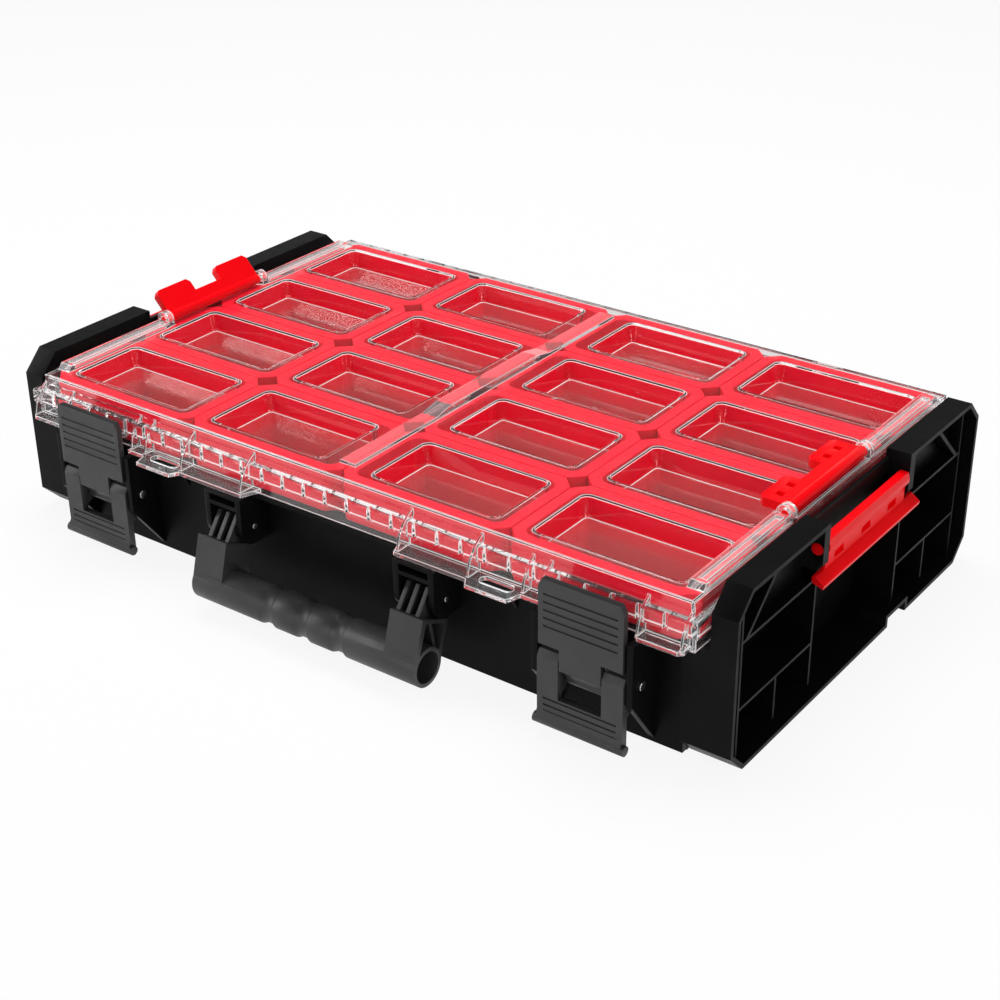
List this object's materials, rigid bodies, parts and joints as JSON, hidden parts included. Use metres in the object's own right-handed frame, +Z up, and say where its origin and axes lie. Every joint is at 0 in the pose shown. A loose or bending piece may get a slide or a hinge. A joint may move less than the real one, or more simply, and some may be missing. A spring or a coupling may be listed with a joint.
{
  "type": "organiser case",
  "caption": "Flat black carry case with ribbed end frames, removable red bins under a clear hinged lid, two draw latches, a front handle and folding stacking clips.",
  "frame": {"origin": "centre of the underside between the end frames, on the surface the case stands on", "axes": "+X to the right along the front, +Y from the front to the hinge side, +Z up"},
  "size_m": [0.593, 0.3928, 0.137],
  "materials": {
    "black_plastic": "satin",
    "grey_plastic": "satin",
    "red_plastic": "gloss",
    "clear_plastic": "clear gloss",
    "steel": "brushed"
  },
  "bodies": {
    "base": {"case_base": "black_plastic", "latch_pin_left": "steel", "latch_pin_right": "steel", "handle_pin_left": "steel", "handle_pin_right": "steel", "hinge_pin_left": "steel", "hinge_pin_right": "steel", "bin_r1c1": "red_plastic", "bin_r1c2": "red_plastic", "bin_r1c3": "red_plastic", "bin_r1c4": "red_plastic", "bin_r2c1": "red_plastic", "bin_r2c2": "red_plastic", "bin_r2c3": "red_plastic", "bin_r2c4": "red_plastic", "bin_r3c1": "red_plastic", "bin_r3c2": "red_plastic", "bin_r3c3": "red_plastic", "bin_r3c4": "red_plastic", "bin_r4c1": "red_plastic", "bin_r4c2": "red_plastic", "bin_r4c3": "red_plastic", "bin_r4c4": "red_plastic"},
    "lid": {"lid": "clear_plastic"},
    "handle": {"handle": "grey_plastic"},
    "latch_lever_left": {"latch_lever_left": "grey_plastic"},
    "latch_plate_left": {"latch_plate_left": "grey_plastic"},
    "lid_clip_left": {"lid_clip_left": "red_plastic"},
    "side_clip_left": {"side_clip_left": "red_plastic"},
    "latch_lever_right": {"latch_lever_right": "grey_plastic"},
    "latch_plate_right": {"latch_plate_right": "grey_plastic"},
    "lid_clip_right": {"lid_clip_right": "red_plastic"},
    "side_clip_right": {"side_clip_right": "red_plastic"}
  },
  "joints": [
    {"name": "lid_hinge", "type": "hinge", "parent": "base", "child": "lid", "pos_m": [0, 0.1813, 0.0963], "axis": [-1, 0, 0], "range_deg": [0, 110]},
    {"name": "handle_swing", "type": "hinge", "parent": "base", "child": "handle", "pos_m": [0, -0.173, 0.06], "axis": [-1, 0, 0], "range_deg": [0, 64]},
    {"name": "latch_lever_left_swing", "type": "hinge", "parent": "base", "child": "latch_lever_left", "pos_m": [-0.2037, -0.175, 0.053], "axis": [-1, 0, 0], "range_deg": [0, 90]},
    {"name": "latch_plate_left_swing", "type": "hinge", "parent": "latch_lever_left", "child": "latch_plate_left", "pos_m": [-0.2037, -0.175, 0.041], "axis": [-1, 0, 0], "range_deg": [-90, 0]},
    {"name": "lid_clip_left_fold", "type": "hinge", "parent": "lid", "child": "lid_clip_left", "pos_m": [-0.2615, 0, 0.119], "axis": [0, 1, 0], "range_deg": [-38, 132]},
    {"name": "side_clip_left_swing", "type": "hinge", "parent": "base", "child": "side_clip_left", "pos_m": [-0.288, 0, 0.1065], "axis": [0, 1, 0], "range_deg": [0, 115]},
    {"name": "latch_lever_right_swing", "type": "hinge", "parent": "base", "child": "latch_lever_right", "pos_m": [0.2037, -0.175, 0.053], "axis": [-1, 0, 0], "range_deg": [0, 90]},
    {"name": "latch_plate_right_swing", "type": "hinge", "parent": "latch_lever_right", "child": "latch_plate_right", "pos_m": [0.2037, -0.175, 0.041], "axis": [-1, 0, 0], "range_deg": [-90, 0]},
    {"name": "lid_clip_right_fold", "type": "hinge", "parent": "lid", "child": "lid_clip_right", "pos_m": [0.2615, 0, 0.119], "axis": [0, 1, 0], "range_deg": [0, 170]},
    {"name": "side_clip_right_swing", "type": "hinge", "parent": "base", "child": "side_clip_right", "pos_m": [0.288, 0, 0.1065], "axis": [0, -1, 0], "range_deg": [0, 115]}
  ],
  "couplings": [
    {"joint": "latch_plate_left_swing", "follows": "latch_lever_left_swing", "ratio": -1},
    {"joint": "latch_plate_right_swing", "follows": "latch_lever_right_swing", "ratio": -1}
  ]
}
